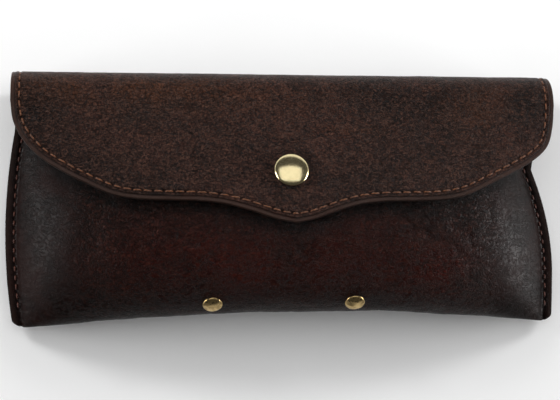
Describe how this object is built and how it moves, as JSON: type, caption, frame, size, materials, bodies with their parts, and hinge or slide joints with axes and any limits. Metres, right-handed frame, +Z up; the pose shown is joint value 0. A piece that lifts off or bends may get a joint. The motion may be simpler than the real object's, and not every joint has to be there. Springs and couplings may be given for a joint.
{
  "type": "soft pouch glasses case",
  "caption": "Soft leather pouch for glasses, sewn flat at both sides, with a lined flap that folds over the mouth and snaps shut.",
  "frame": {"origin": "on the surface that the pouch lies on, under the middle of its box", "axes": "+X along the top fold, +Y from the bottom of the pouch towards the top fold, +Z up out of the back, through the front"},
  "size_m": [0.1844, 0.0846, 0.038],
  "materials": {
    "outer_leather": "oiled, worn matte",
    "inner_leather": "suede side out",
    "seam_thread": "waxed",
    "snap_metal": "polished pale gold",
    "rivet_metal": "antique"
  },
  "bodies": {
    "pouch": {"back_panel": "outer_leather", "front_panel": "outer_leather", "front_lining": "inner_leather", "back_lining": "inner_leather", "bottom_stay": "inner_leather", "seam_thread_left": "seam_thread", "seam_thread_right": "seam_thread", "snap_stud": "snap_metal", "snap_post": "rivet_metal", "rivet_cap_left": "rivet_metal", "rivet_cap_right": "rivet_metal", "rivet_post_left": "rivet_metal", "rivet_post_right": "rivet_metal"},
    "spine": {"spine_leather": "outer_leather", "spine_lining": "inner_leather", "spine_thread_left": "seam_thread", "spine_thread_right": "seam_thread"},
    "flap": {"flap_leather": "outer_leather", "flap_lining": "inner_leather", "flap_thread": "seam_thread", "snap_cap": "snap_metal", "snap_socket": "rivet_metal", "snap_spring": "snap_metal"}
  },
  "joints": [
    {"name": "flap_fold", "type": "hinge", "parent": "pouch", "child": "spine", "pos_m": [-0.0008, 0.0384, 0.00308], "axis": [-1, 0, 0], "range_deg": [0, 90]},
    {"name": "flap_bend", "type": "hinge", "parent": "spine", "child": "flap", "pos_m": [-0.0008, 0.03991, 0.01602], "axis": [-1, 0, 0], "range_deg": [0, 63]}
  ]
}
